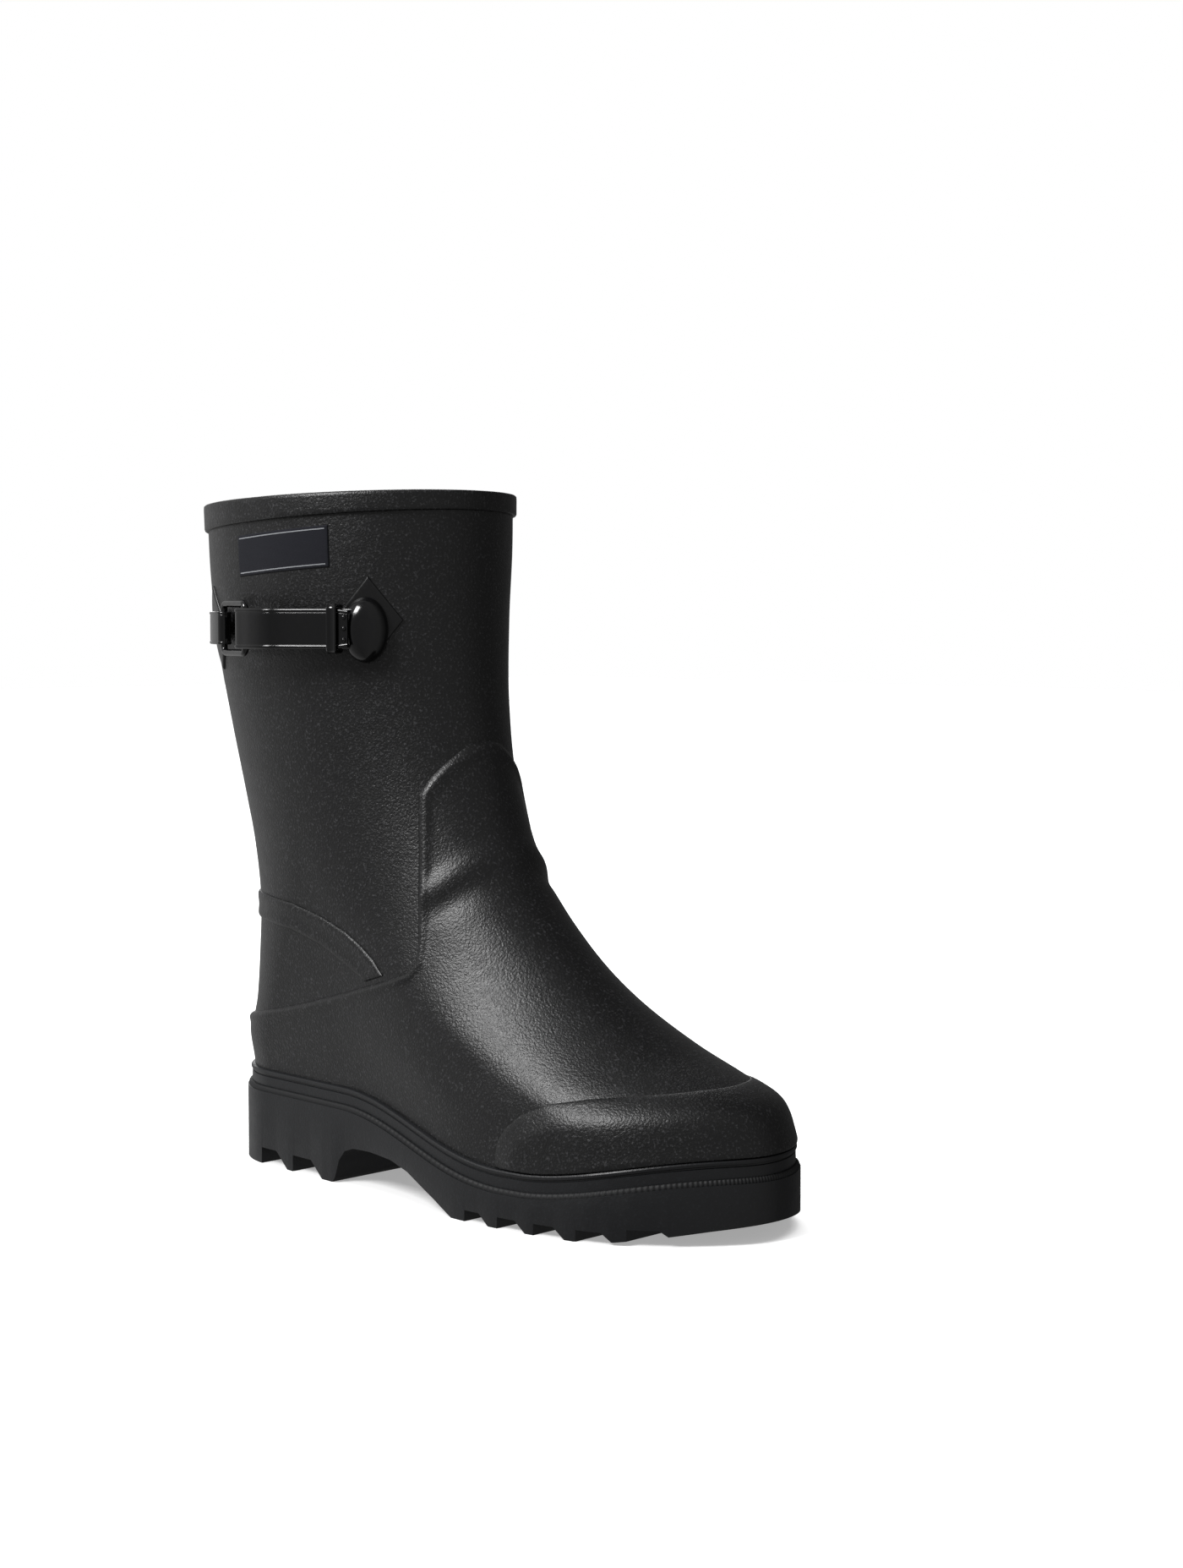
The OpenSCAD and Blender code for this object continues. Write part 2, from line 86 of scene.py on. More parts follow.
# Outlines in the side view, as (x, z)
GALOSH_EDGE = [(-40, 58), (4, 62), (24, 64.6), (48, 69.6), (67, 74), (91, 80.4), (115, 87), (130, 91.5),
               (136, 94), (139.2, 98.5), (138.6, 105), (134.8, 124), (131.4, 145), (129.4, 158),
               (128.6, 165), (131.6, 172.5), (135.4, 180), (137.4, 185.5), (140, 189.5), (146, 192.5),
               (180, 195)]
GALOSH_SIDE = GALOSH_EDGE + [(400, 195), (400, -20), (-40, -20)]
BUMPER_SIDE = [(189, 10), (193, 33), (197, 39), (204, 45), (216, 50.4), (231, 53.4), (247, 55), (262, 56.6),
               (300, 58), (300, 10)]
STRIP_SIDE = [(-40, 119), (40, 118.5), (62, 116.8), (82, 112.4), (98, 107.2), (108, 102.2), (116, 97),
              (122, 91.2), (110, 87.6), (98, 93), (81, 100), (62, 105), (40, 107), (-40, 107.5)]
LABEL_SIDE = [(48.5, 254.5), (97.5, 258.2), (97.5, 275.4), (48.5, 271.6)]
UNDERSIDE = [(HEEL_X - 20, 0), (86, 0), (88, 2), (91, 10), (95, 14.5), (101, 16.5), (113, 17), (128, 16.2),
             (140, 13.4), (149, 9.6), (159, 5.4), (170, 0), (232, 0), (248, 1.2), (262, 3.4), (276, 6),
             (TOE_X + 20, 10)]
HEEL_NOTCHES = [(35, 46), (58, 71)]
TREAD_NOTCHES = [(178, 186), (196, 205), (214, 223), (233, 243), (252, 262)]
NOTCH_H, NOTCH_SLANT, TREAD_SINK, RIB_HALF = 7, 9, 2.5, 9
PAST_SIDES = 90


# ---- the form ----
def ease(v):
    c = np.clip(v, 0, 1)
    return c * c * (3 - 2 * c)


def mix(a, b, k):
    return a + (b - a) * k


def spline(table, at):
    """A smooth curve through the rows of a table."""
    table = np.asarray(table, float)
    last = len(table) - 1
    i = np.clip(np.floor(at).astype(int), 0, last - 1)
    f, first, final = at - i, i == 0, i == last - 1
    if table.ndim == 2:
        f, first, final = f[..., None], first[..., None], final[..., None]
    p1, p2 = table[i], table[i + 1]
    p0 = np.where(first, 2 * p1 - p2, table[np.maximum(i - 1, 0)])
    p3 = np.where(final, 2 * p2 - p1, table[np.minimum(i + 2, last)])
    return 0.5 * (2 * p1 + (p2 - p0) * f + (2 * p0 - 5 * p1 + 4 * p2 - p3) * f ** 2
                  + (3 * p1 - p0 - 3 * p2 + p3) * f ** 3)


def feather(s):
    """Height of the feather line, s running from 0 at the heel to 1 at the toe."""
    return (HEEL_FEATHER - (HEEL_FEATHER - BALL_FEATHER) * ease((s - WAIST_FROM) / WAIST_RUN)
            + TOE_SPRING * ease((s - SPRING_FROM) / SPRING_RUN))


def feather_at(x):
    return feather(np.clip((x - HEEL_X) / FOOT_LEN, 0, 1))


def ledge_at(x):
    return feather_at(x) - FOXING_H


def fullness(distance, rounding):
    """How full a section is, at this distance from an end that is rounded by this length."""
    q = np.clip(1 - distance / rounding, 0, 1)
    return np.sqrt(1 - q * q)


def leg_point(turn, row):
    """A point of the leg's outer surface. turn is 0 at the back, 0.25 on the outer side and 0.5 in front."""
    turn, row = np.broadcast_arrays(np.mod(turn, 1.0), np.asarray(row, float))
    r = np.moveaxis(spline(SECTIONS, row), -1, 0)
    outer = turn <= 0.5
    s = (1 - np.cos(2 * pi * np.where(outer, turn, 1 - turn))) / 2
    x = mix(r[0], r[2], s)
    foot, fade = 1 - ease(row / FOOT_ROWS), 1 - ease(row / SOLE_ROWS)
    station = s * (len(SOLE_OUT) - 1)
    sole = np.where(outer, spline(SOLE_OUT, station), spline(SOLE_IN, station))
    half = mix(np.where(outer, r[4], r[5]), sole, fade) * np.where(outer, -1, 1)
    y = half * fullness(x - r[0], r[6]) * fullness(r[2] - x, r[7]) + fade * TOE_BEND * ease((s - 0.5) / 0.5)
    z = mix(r[1], r[3], s) + (feather(s) - mix(HEEL_FEATHER, TOE_FEATHER, s)) * foot
    return np.stack([x, y, z], -1)


def unit(v):
    return v / np.linalg.norm(v, axis=-1, keepdims=True)


def normal(turn, row):
    turn, row = np.broadcast_arrays(np.asarray(turn, float), np.asarray(row, float))
    step, rise = 0.004, 0.04
    around = leg_point(turn + step, row) - leg_point(turn - step, row)
    up = leg_point(turn, np.minimum(RIM_ROW, row + rise)) - leg_point(turn, np.maximum(0, row - rise))
    level = leg_point(turn + step, 0) - leg_point(turn - step, 0)
    flat = unit(np.stack([level[..., 1], -level[..., 0], np.zeros(level.shape[:-1])], -1))
    return unit(mix(flat, unit(np.cross(around, up)), ease(row / 0.3)[..., None]))


def skin(turn, row, out):
    """The surface this far out from the leg. Below the feather line row runs to -1 at the ledge."""
    turn, row, out = np.broadcast_arrays(*(np.asarray(v, float) for v in (turn, row, out)))
    above = np.maximum(row, 0)
    p = leg_point(turn, above) + out[..., None] * normal(turn, above)
    p[..., 2] = np.where(row <= 0, feather_at(p[..., 0]) + row * FOXING_H, p[..., 2])
    return p


def on_side(x, z):
    """(turn, row) of the leg's outer side at a point of its side view, above the ankle."""
    low, high = np.full(x.shape, float(SOLE_ROWS)), np.full(x.shape, float(RIM_ROW))
    for _ in range(26):
        row = (low + high) / 2
        r = np.moveaxis(spline(SECTIONS, row), -1, 0)
        s = np.clip((x - r[0]) / (r[2] - r[0]), 0, 1)
        below = mix(r[1], r[3], s) < z
        low, high = np.where(below, row, low), np.where(below, high, row)
    return np.arccos(1 - 2 * s) / (2 * pi), row


def edge_distance(outline, x, z):
    """Distance to an outline in the side view, positive inside it."""
    a = np.array(outline, float)
    b = np.roll(a, -1, 0)
    nearest, inside = np.full(x.shape, 1e9), np.zeros(x.shape, bool)
    for (ax, az), (bx, bz) in zip(a, b):
        dx, dz = bx - ax, bz - az
        k = np.clip(((x - ax) * dx + (z - az) * dz) / (dx * dx + dz * dz), 0, 1)
        nearest = np.minimum(nearest, np.hypot(x - ax - k * dx, z - az - k * dz))
        if dz:
            crosses = ((az > z) != (bz > z)) & (x < ax + (z - az) * dx / dz)
            inside ^= crosses
    return np.where(inside, nearest, -nearest)


def round_edge(distance, radius):
    """0 at an edge, rising as a quarter round to 1."""
    q = 1 - np.clip(distance / radius, 0, 1)
    return np.sqrt(1 - q * q)


def ridged(thickness, distance, rise=0.75, width=1.7):
    """A layer's thickness with a soft ridge just inside its edge, where the rubber was rolled down."""
    return thickness - BOND + rise * np.exp(-((distance - 1.4 * width) / width) ** 2)


# ---- meshes ----
def place(points):
    return (np.asarray(points, float) + TO_MIDDLE) * 0.001


def add_mesh(name, points, faces, sharp=35):
    mesh = bpy.data.meshes.new(name)
    mesh.from_pydata([tuple(p) for p in points], [], [tuple(f) for f in faces])
    bm = bmesh.new()
    bm.from_mesh(mesh)
    bmesh.ops.recalc_face_normals(bm, faces=bm.faces)
    bm.to_mesh(mesh)
    bm.free()
    mesh.polygons.foreach_set("use_smooth", [True] * len(mesh.polygons))
    mesh.set_sharp_from_angle(angle=radians(sharp))
    piece = bpy.data.objects.new(name, mesh)
    bpy.context.scene.collection.objects.link(piece)
    return piece


def loft(name, loops, closed=True, sharp=35):
    """A closed solid over loops[profile][column]; the profile is a loop, and so are the columns if closed."""
    n, m = loops.shape[:2]
    index = np.arange(n * m).reshape(n, m)
    after = np.roll(index, -1, 0)
    a, b = index[:, :-1], after[:, :-1]
    c, d = after[:, 1:], index[:, 1:]
    faces = np.stack([a, b, c, d], -1).reshape(-1, 4).tolist()
    if closed:
        faces += np.stack([index[:, -1], after[:, -1], after[:, 0], index[:, 0]], -1).tolist()
    else:
        faces += [index[:, 0].tolist(), index[::-1, -1].tolist()]
    return add_mesh(name, place(loops.reshape(-1, 3)), faces, sharp)


def finish_piece(piece, body, material, slot_name, *nodes):
    piece.data.materials.clear()
    piece.data.materials.append(material)
    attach(piece, body)
    if nodes:
        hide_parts(*nodes)
    return piece


def swept(name, profile, columns=COLUMNS, sharp=35):
    """A closed wall round the boot: profile lists (row, out, lift) round one cross section."""
    row, out, lift = np.array(profile, float).T
    turns = np.arange(columns) / columns
    loops = skin(turns[None], row[:, None], out[:, None])
    loops[..., 2] += lift[:, None]
    return loft(name, loops, sharp=sharp)


def overlay(name, outline, turns, rows, thickness, rounding, base=0.0, closed=True, steps=84, low_round=0.0):
    """A layer over the skin inside a side-view outline, with its edges rounded."""
    scan_step, back_every = 0.02, 6
    scan = np.arange(rows[0], rows[1] + 0.001, scan_step)
    p = skin(turns[None], scan[:, None], base)
    d = edge_distance(outline, p[..., 0], p[..., 2])
    inside = d > 0
    keep = inside.any(0)
    turns, d, inside = turns[keep], d[:, keep], inside[:, keep]
    column = np.arange(len(turns))
    first = inside.argmax(0)
    past = np.where(np.arange(len(scan))[:, None] > first, ~inside, False)
    last = np.where(past.any(0), past.argmax(0), len(scan))

    def crossing(i, j):
        """The row between scan lines i (inside) and j (outside) where the outline is crossed."""
        di, dj = d[i, column], d[np.clip(j, 0, len(scan) - 1), column]
        k = np.where(di - dj > 1e-6, di / np.maximum(di - dj, 1e-6), 0)
        return scan[i] + (scan[np.clip(j, 0, len(scan) - 1)] - scan[i]) * np.clip(k, 0, 1)

    low = np.where(first > 0, crossing(first, first - 1), scan[0])
    high = np.where(last < len(scan), crossing(last - 1, last), scan[-1])
    v = (1 - np.cos(pi * np.linspace(0, 1, steps))) / 2
    grid = mix(low[None], high[None], v[:, None])
    p = skin(turns[None], grid, base)
    d = np.maximum(edge_distance(outline, p[..., 0], p[..., 2]), 0)
    d[-1] = np.where(last < len(scan), 0, d[-1])
    d[0] = np.where(first > 0, 0, d[0])
    full = thickness(d, p) * round_edge(d, rounding)
    if low_round:
        full *= 0.35 + 0.65 * round_edge(p[..., 2] - feather_at(p[..., 0]), low_round)
    outer = skin(turns[None], grid, base + BOND + full)
    back = v[::back_every][::-1]
    inner = skin(turns[None], mix(low[None], high[None], back[:, None]), base + BOND)
    return loft(name, np.concatenate([outer, inner]), closed)


# ---- materials ----
def new_material(name):
    material = bpy.data.materials.new(name)
    material.use_nodes = True
    nodes, links = material.node_tree.nodes, material.node_tree.links
    shader = nodes["Principled BSDF"]
    where = nodes.new("ShaderNodeTexCoord")
    return material, nodes, links, shader, where.outputs["Object"]


def noise(nodes, links, where, scale, detail=4.0, roughness=0.6):
    node = nodes.new("ShaderNodeTexNoise")
    node.inputs["Scale"].default_value = scale
    node.inputs["Detail"].default_value = detail
    node.inputs["Roughness"].default_value = roughness
    links.new(where, node.inputs["Vector"])
    return node.outputs["Fac"]


def ramp(nodes, links, value, low, high, at=(0.0, 1.0)):
    """value from at[0] to at[1] turned into a grey or a colour from low to high."""
    node = nodes.new("ShaderNodeValToRGB")
    for stop, position, colour in zip(node.color_ramp.elements, at, (low, high)):
        colour = (colour,) * 3 if isinstance(colour, (int, float)) else colour
        stop.position, stop.color = position, (*colour, 1)
    links.new(value, node.inputs["Fac"])
    return node.outputs["Color"]


def bump(nodes, links, shader, height, strength, distance, under=None):
    node = nodes.new("ShaderNodeBump")
    node.inputs["Strength"].default_value = strength
    node.inputs["Distance"].default_value = distance
    links.new(height, node.inputs["Height"])
    if under is not None:
        links.new(under, node.inputs["Normal"])
    links.new(node.outputs["Normal"], shader.inputs["Normal"])
    return node.outputs["Normal"]


def rubber(name, colour, speck, rough, grain, grain_depth, coat):
    """Moulded rubber: black with fine pale specks, a slow change of sheen, a fine grain and a thin coat."""
    material, nodes, links, shader, where = new_material(name)
    specks = noise(nodes, links, where, grain, 2, 0.6)
    links.new(ramp(nodes, links, specks, colour, speck, (0.56, 0.72)), shader.inputs["Base Color"])
    sheen = noise(nodes, links, where, 160, 6, 0.7)
    links.new(ramp(nodes, links, sheen, rough[0], rough[1], (0.3, 0.7)), shader.inputs["Roughness"])
    shader.inputs["Coat Weight"].default_value = coat
    shader.inputs["Coat Roughness"].default_value = 0.35
    slow = bump(nodes, links, shader, noise(nodes, links, where, 60, 3), 0.2, 0.0006)
    bump(nodes, links, shader, specks, grain_depth, 0.0004, slow)
    return material


def gloss(name, colour, rough, coat):
    """Glossy moulded rubber or plastic, with faint mould waves and dust."""
    material, nodes, links, shader, where = new_material(name)
    shader.inputs["Base Color"].default_value = (*colour, 1)
    dust = noise(nodes, links, where, 420, 5, 0.7)
    links.new(ramp(nodes, links, dust, rough, rough + 0.16, (0.5, 0.8)), shader.inputs["Roughness"])
    shader.inputs["Coat Weight"].default_value = coat
    shader.inputs["Coat Roughness"].default_value = 0.08
    bump(nodes, links, shader, noise(nodes, links, where, 220, 2), 0.2, 0.0004)
    return material


def knit(name, colour, light, pitch, depth, sheen=0.25):
    """A knitted or woven cloth: two crossing ribs, with a fuzz over them."""
    material, nodes, links, shader, where = new_material(name)
    ribs = []
    for direction in ("X", "Z"):
        rib = nodes.new("ShaderNodeTexWave")
        rib.bands_direction = direction
        rib.inputs["Scale"].default_value = 1 / pitch
        rib.inputs["Distortion"].default_value = 1.2
        rib.inputs["Detail Scale"].default_value = 3
        links.new(where, rib.inputs["Vector"])
        ribs.append(rib.outputs["Fac"])
    cross = nodes.new("ShaderNodeMath")
    cross.operation = "MULTIPLY"
    links.new(ribs[0], cross.inputs[0])
    links.new(ribs[1], cross.inputs[1])
    links.new(ramp(nodes, links, cross.outputs[0], colour, light), shader.inputs["Base Color"])
    shader.inputs["Roughness"].default_value = 0.95
    shader.inputs["Sheen Weight"].default_value = sheen
    fuzz = bump(nodes, links, shader, noise(nodes, links, where, 1800, 4), 0.3, 0.0004)
    bump(nodes, links, shader, cross.outputs[0], depth, 0.0005, fuzz)
    return material


def grain_stuff(name, dark, light, scale, rough, metallic=0.0):
    """Cork, board, foam, felt or brushed steel: specks of two tones with a matching bump."""
    material, nodes, links, shader, where = new_material(name)
    specks = noise(nodes, links, where, scale, 6, 0.7)
    links.new(ramp(nodes, links, specks, dark, light, (0.35, 0.65)), shader.inputs["Base Color"])
    shader.inputs["Roughness"].default_value = rough
    shader.inputs["Metallic"].default_value = metallic
    bump(nodes, links, shader, specks, 0.5, 0.0004)
    return material


UPPER = rubber("upper_rubber", (0.0045, 0.0045, 0.0048), (0.045, 0.045, 0.048), (0.33, 0.41), 1000, 0.7, 0.0)
SOLE = rubber("outsole_rubber", (0.006, 0.0064, 0.0078), (0.011, 0.012, 0.0148), (0.36, 0.48), 900, 0.25, 0.0)
WELT = rubber("welt_rubber", (0.004, 0.0042, 0.005), (0.007, 0.0075, 0.009), (0.62, 0.72), 900, 0.25, 0.0)
PATCH = gloss("patch_rubber", (0.003, 0.003, 0.0034), 0.3, 0.0)
STRAP = gloss("strap_gloss", (0.003, 0.003, 0.0034), 0.14, 0.0)
BUCKLE = gloss("buckle_gloss", (0.004, 0.004, 0.0046), 0.12, 0.2)
# The lining's colours are partly the dark knit itself and partly painted shade: they are darker than the
# cloth would be, to stand in for the shade inside the boot.
LINING_WITH_PAINTED_SHADE = knit("lining_knit", (0.006, 0.0062, 0.007), (0.018, 0.0186, 0.021), 0.0022, 0.6, 0.03)
FOOTBED = knit("footbed_cloth", (0.018, 0.018, 0.02), (0.05, 0.05, 0.055), 0.003, 0.5)
LABEL = knit("label_weave", (0.002, 0.0024, 0.006), (0.007, 0.008, 0.018), 0.0012, 0.4, 0.02)
THREAD = knit("label_thread", (0.25, 0.26, 0.28), (0.45, 0.46, 0.48), 0.001, 0.5)
CORK = grain_stuff("cork_filler", (0.2, 0.12, 0.06), (0.5, 0.36, 0.22), 700, 0.9)
BOARD = grain_stuff("fibre_board", (0.34, 0.25, 0.15), (0.52, 0.42, 0.29), 1200, 0.85)
FOAM = grain_stuff("foam_core", (0.5, 0.48, 0.42), (0.66, 0.63, 0.56), 1600, 0.9)
FELT = grain_stuff("stiffener_felt", (0.28, 0.26, 0.23), (0.46, 0.44, 0.4), 2200, 0.95)
STEEL = grain_stuff("shank_steel", (0.42, 0.43, 0.45), (0.62, 0.63, 0.65), 300, 0.34, 1.0)


# ---- upper ----
def leg():
    outer = np.linspace(-1, RIM_ROW, 150)
    inner = np.linspace(RIM_ROW, -1, 50)
    profile = [(r, 0, 0) for r in outer] + [(r, -LEG_T, 0) for r in inner]
    finish_piece(swept("leg", profile), "boot", UPPER, "upper_rubber", "leg_shell")


def lining():
    """The knitted lining, with the cuff that shows inside the rim."""
    stiffener_room = 1.1
    clear = lambda row: stiffener_room * (1 - ease((row - 2.8) / 0.9))
    depth = LEG_T + BOND + 0.03
    outer = [(r, -depth - clear(r), 0) for r in np.linspace(-0.1, 9.9, 60)]
    inner = [(r, -depth - clear(r) - LINING_T, 0) for r in np.linspace(9.9, -0.1, 90)]
    finish_piece(swept("lining_cloth", outer + inner), "boot", LINING_WITH_PAINTED_SHADE, "lining_knit", "lining")


def footbed():
    """The removable insole, crowned a little, with rounded edges."""
    turns = np.arange(COLUMNS) / COLUMNS
    clear, middle_y, low, tall = 3.4, 3, 7.4, 4.7
    heel_round, toe_round, half_len = 34, 46, FOOT_LEN / 2
    edge = skin(turns, 0, -LEG_T - LINING_T - clear)
    rings = [(1.0, 0.0), (1.0, 0.6), (0.994, 0.9), (0.975, 1.0), (0.9, 1.02), (0.75, 1.06), (0.55, 1.1),
             (0.3, 1.12), (0.05, 1.12)]
    loops = []
    for size, height in rings + [(0.05, 0.0), (0.6, 0.0)]:
        p = edge.copy()
        spine = np.clip(p[:, 0], HEEL_X + heel_round, TOE_X - toe_round)
        bend = TOE_BEND * ease((spine - HEEL_X - half_len) / half_len)
        p[:, 0] = mix(spine, p[:, 0], size)
        p[:, 1] = mix(middle_y + bend, p[:, 1], size)
        p[:, 2] = ledge_at(p[:, 0]) + low + tall * height
        loops.append(p)
    finish_piece(loft("insole", np.array(loops)), "boot", FOOTBED, "footbed_foam", "footbed")


def crease(p):
    """The fold where the ankle bends: a soft ridge down both sides from the front, and a valley under it."""
    high, low = np.array([158, 143]), np.array([134, 119])
    ridge, ridge_at, valley, valley_at, width = 1.3, -1, 0.8, 8, 4.5
    along_it = (high - low) / np.linalg.norm(high - low)
    x, z = p[..., 0] - low[0], p[..., 2] - low[1]
    run = (x * along_it[0] + z * along_it[1]) / np.linalg.norm(high - low)
    off = x * along_it[1] - z * along_it[0]
    fade = ease(run / 0.5 + 0.2) * ease((1.5 - run) / 0.4)
    return fade * (ridge * np.exp(-((off - ridge_at) / width) ** 2)
                   - valley * np.exp(-((off - valley_at) / width) ** 2))


def galosh():
    turns = np.arange(COLUMNS * 2) / (COLUMNS * 2)
    creased = lambda d, p: ridged(GALOSH_T, d) + crease(p)
    piece = overlay("galosh_layer", GALOSH_SIDE, turns, (-1, 7.3), creased, 2.0)
    finish_piece(piece, "boot", UPPER, "upper_rubber", "galosh")


def toe_bumper():
    """A pillow of rubber round the toe: full along its middle, rolled over at its edge."""
    turns = np.linspace(0.27, 0.73, 420)
    edge_part, rise_part, pillow_w = 0.5, 0.95, 11
    fill = lambda d, p: BUMPER_T * (edge_part + rise_part * ease(d / pillow_w))
    piece = overlay("toe_band", BUMPER_SIDE, turns, (0, 2), fill, 3.0, GALOSH_T, False, 60, 2.5)
    finish_piece(piece, "boot", UPPER, "upper_rubber", "toe_bumper")


def ankle_strip():
    turns = np.linspace(-0.36, 0.36, 520)
    piece = overlay("heel_cord_strip", STRIP_SIDE, turns, (2, 6), lambda d, p: ridged(STRIP_T, d, 0.2), 1.6,
                    closed=False, steps=40)
    finish_piece(piece, "boot", UPPER, "upper_rubber", "ankle_strip")


def top_binding():
    """The band round the rim, folded over the leg and the lining."""
    last_rise = SECTIONS[-1][1] - SECTIONS[-2][1]
    low = RIM_ROW - BINDING_H / last_rise
    inside = -LEG_T - LINING_T - BOND
    profile = [(low, BOND, 0), (low + 0.004, 0.9, 0), (low + 0.014, 1.35, 0), (low + 0.035, BINDING_T, 0),
               (9.75, BINDING_T, 0), (9.97, BINDING_T, 0), (10, BINDING_T - 0.1, 0.4),
               (10, BINDING_T - 0.6, 0.85), (10, BINDING_T - 1.3, 1), (10, inside - 0.1, 1),
               (10, inside - 0.7, 0.8), (10, inside - 1, 0.3), (9.95, inside - 1, 0), (9.84, inside - 0.9, 0),
               (9.82, inside - 0.5, 0), (9.84, inside - BOND, 0), (9.95, inside - BOND, 0),
               (10, inside, 0.05), (10, BOND, 0.05), (9.85, BOND, 0)]
    finish_piece(swept("rim_band", profile, sharp=50), "boot", UPPER, "upper_rubber", "top_binding")


def foxing():
    """The smooth strip over the joint of upper and sole, with a fine double line along its top."""
    out = FOXING_OUT
    profile = [(-1, GALOSH_T + BOND, 0), (-1, out - 0.3, 0), (-0.97, out, 0), (-0.55, out + 0.05, 0),
               (-0.33, out, 0), (-0.3, out - 0.5, 0), (-0.25, out - 0.55, 0), (-0.22, out + 0.2, 0),
               (-0.16, out + 0.5, 0), (-0.1, out + 0.55, 0), (-0.04, out + 0.25, 0), (-0.005, out - 0.5, 0),
               (0, GALOSH_T + BOND, 0)]
    finish_piece(swept("foxing_strip", profile, COLUMNS * 2, 30), "boot", SOLE, "outsole_rubber", "foxing")


# ---- sole ----
def outline(out, count):
    return skin(np.arange(count) / count, 0, out)[:, :2]


def prism(name, points, low, high, across=False):
    """An upright prism over (x, y) points, or one lying across the boot over (x, z) points."""
    n = len(points)
    if across:
        ends = [[(x, y, z) for x, z in points] for y in (low, high)]
    else:
        ends = [[(x, y, z) for x, y in points] for z in (low, high)]
    faces = [list(range(n))[::-1], list(range(n, 2 * n))]
    faces += [(i, (i + 1) % n, n + (i + 1) % n, n + i) for i in range(n)]
    return add_mesh(name, place(ends[0] + ends[1]), faces)


def cut(piece, tool, operation):
    step = piece.modifiers.new(operation, "BOOLEAN")
    step.operation, step.object, step.solver = operation, tool, "EXACT"
    apply_modifiers(piece)
    bpy.data.objects.remove(tool)


def apply_modifiers(piece):
    graph = bpy.context.evaluated_depsgraph_get()
    mesh = bpy.data.meshes.new_from_object(piece.evaluated_get(graph))
    piece.modifiers.clear()
    piece.data = mesh


def outsole():
    """The moulded sole: a lugged heel and forefoot with a raised waist between them."""
    stations = np.linspace(HEEL_X - 20, TOE_X + 20, 90)
    side = UNDERSIDE + [(x, float(ledge_at(x))) for x in stations[::-1]]
    sole = prism("outsole_block", outline(SOLE_OUT_BY, 300), -1, 60)
    cut(sole, prism("side", side, -PAST_SIDES, PAST_SIDES, True), "INTERSECT")
    under = lambda x: float(np.interp(x, *np.array(UNDERSIDE).T))
    notches = [(a, b, 0) for a, b in HEEL_NOTCHES] + [(a, b, under(a) - TREAD_SINK) for a, b in TREAD_NOTCHES]
    for x0, x1, lift in notches:
        shape = [(x0, lift - 1), (x0, lift + NOTCH_H), (x1, lift + NOTCH_H), (x1 + NOTCH_SLANT, lift - 1)]
        for low, high in ((-PAST_SIDES, -RIB_HALF), (RIB_HALF, PAST_SIDES)):
            cut(sole, prism("notch", shape, low, high, True), "DIFFERENCE")
    bevel = sole.modifiers.new("soft_edges", "BEVEL")
    bevel_m, bevel_from = 0.0007, 38
    bevel.width, bevel.segments, bevel.limit_method = bevel_m, 3, "ANGLE"
    bevel.angle_limit = radians(bevel_from)
    apply_modifiers(sole)
    mesh = sole.data
    mesh.polygons.foreach_set("use_smooth", [True] * len(mesh.polygons))
    mesh.set_sharp_from_angle(angle=radians(30))
    finish_piece(sole, "boot", SOLE, "outsole_rubber", "outsole")


def welt():
    """The rolled bead in the corner over the sole's ledge, knurled from the waist to the toe."""
    teeth, columns_each, waist_x = 300, 6, 96
    columns = teeth * columns_each
    turns = np.arange(columns) / columns
    x = leg_point(turns, 0)[..., 0]
    wave = 0.5 + 0.5 * np.cos(2 * pi * teeth * turns)
    tooth = np.clip(wave * 1.6 - 0.3, 0, 1) * ease((x - waist_x) / 20)
    loops = []
    for out, lift in [(-0.1, 0), (-0.1, 1.9), (0.5, 2.1), (1.05, 1.9), (1.45, 1.3), (1.6, 0.5), (1.6, 0)]:
        p = skin(turns, -1, FOXING_OUT + out - 0.25 * tooth * (out > 0.6))
        p[:, 2] = ledge_at(p[:, 0]) + lift - 0.15 * tooth * (lift > 1.2)
        loops.append(p)
    finish_piece(loft("welt_bead", np.array(loops), sharp=50), "boot", WELT, "outsole_rubber")


# ---- label and patches ----
def plate(name, a, b, side_xz, thickness, rounding, size):
    """A thin plate on the leg's outer side; a and b are its own coordinates from -1 to 1."""
    x, z = side_xz(a, b)
    turn, row = on_side(x, z)
    from_edge = np.minimum((1 - np.abs(a)) * size[0], (1 - np.abs(b)) * size[1])
    outer = skin(turn, row, BOND + thickness * round_edge(from_edge, rounding))
    inner = skin(turn, row, BOND)
    n = a.shape[0]
    index = np.arange(n * n).reshape(n, n)
    quads = np.stack([index[:-1, :-1], index[:-1, 1:], index[1:, 1:], index[1:, :-1]], -1).reshape(-1, 4)
    faces = quads.tolist() + (quads[:, ::-1] + n * n).tolist()
    edge = np.concatenate([index[0], index[1:, -1], index[-1, -2::-1], index[-2:0:-1, 0]])
    faces += [(edge[k], edge[k - 1], edge[k - 1] + n * n, edge[k] + n * n) for k in range(len(edge))]
    points = np.concatenate([outer.reshape(-1, 3), inner.reshape(-1, 3)])
    return add_mesh(name, place(points), faces, 45)


def even_grid(n):
    """A grid from -1 to 1 that is finer near its edges."""
    k = np.sin(np.linspace(-1, 1, n) * pi / 2)
    return np.meshgrid(k, k, indexing="ij")


def label_point(a, b):
    corners = np.array(LABEL_SIDE, float)
    u, v = (a + 1) / 2, (b + 1) / 2
    low = mix(corners[0], corners[1], u[..., None])
    high = mix(corners[3], corners[2], u[..., None])
    p = mix(low, high, v[..., None])
    return p[..., 0], p[..., 1]


